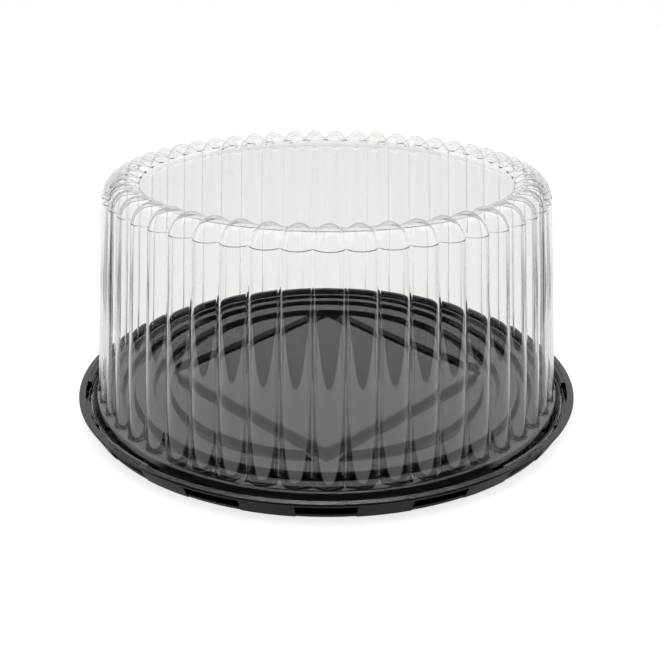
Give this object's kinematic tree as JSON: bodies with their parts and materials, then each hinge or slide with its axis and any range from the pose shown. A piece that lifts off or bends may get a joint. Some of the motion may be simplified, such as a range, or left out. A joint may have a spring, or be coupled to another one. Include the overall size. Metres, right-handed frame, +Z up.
{
  "type": "cake keeper with dome",
  "caption": "Round black formed cake tray with a grooved floor and snap rim, under a clear fluted dome with rounded shoulders and a flat top.",
  "frame": {"origin": "on the table under the middle of the tray, at the bottom of the tray's skirt", "axes": "+Z is up, along the axis of the dome and the tray; -Y points to the picture's camera, at the middle of a snap window"},
  "size_m": [0.3094, 0.3094, 0.1421],
  "materials": {
    "black_sheet": "glossy thermoformed sheet",
    "clear_sheet": "clear glossy thermoformed sheet"
  },
  "bodies": {
    "tray": {"base_tray": "black_sheet"},
    "dome": {"dome_lid": "clear_sheet"}
  },
  "joints": [
    {"name": "dome_lift", "type": "slide", "parent": "tray", "child": "dome", "axis": [0, 0, 1], "range_m": [0, 0.16]}
  ]
}
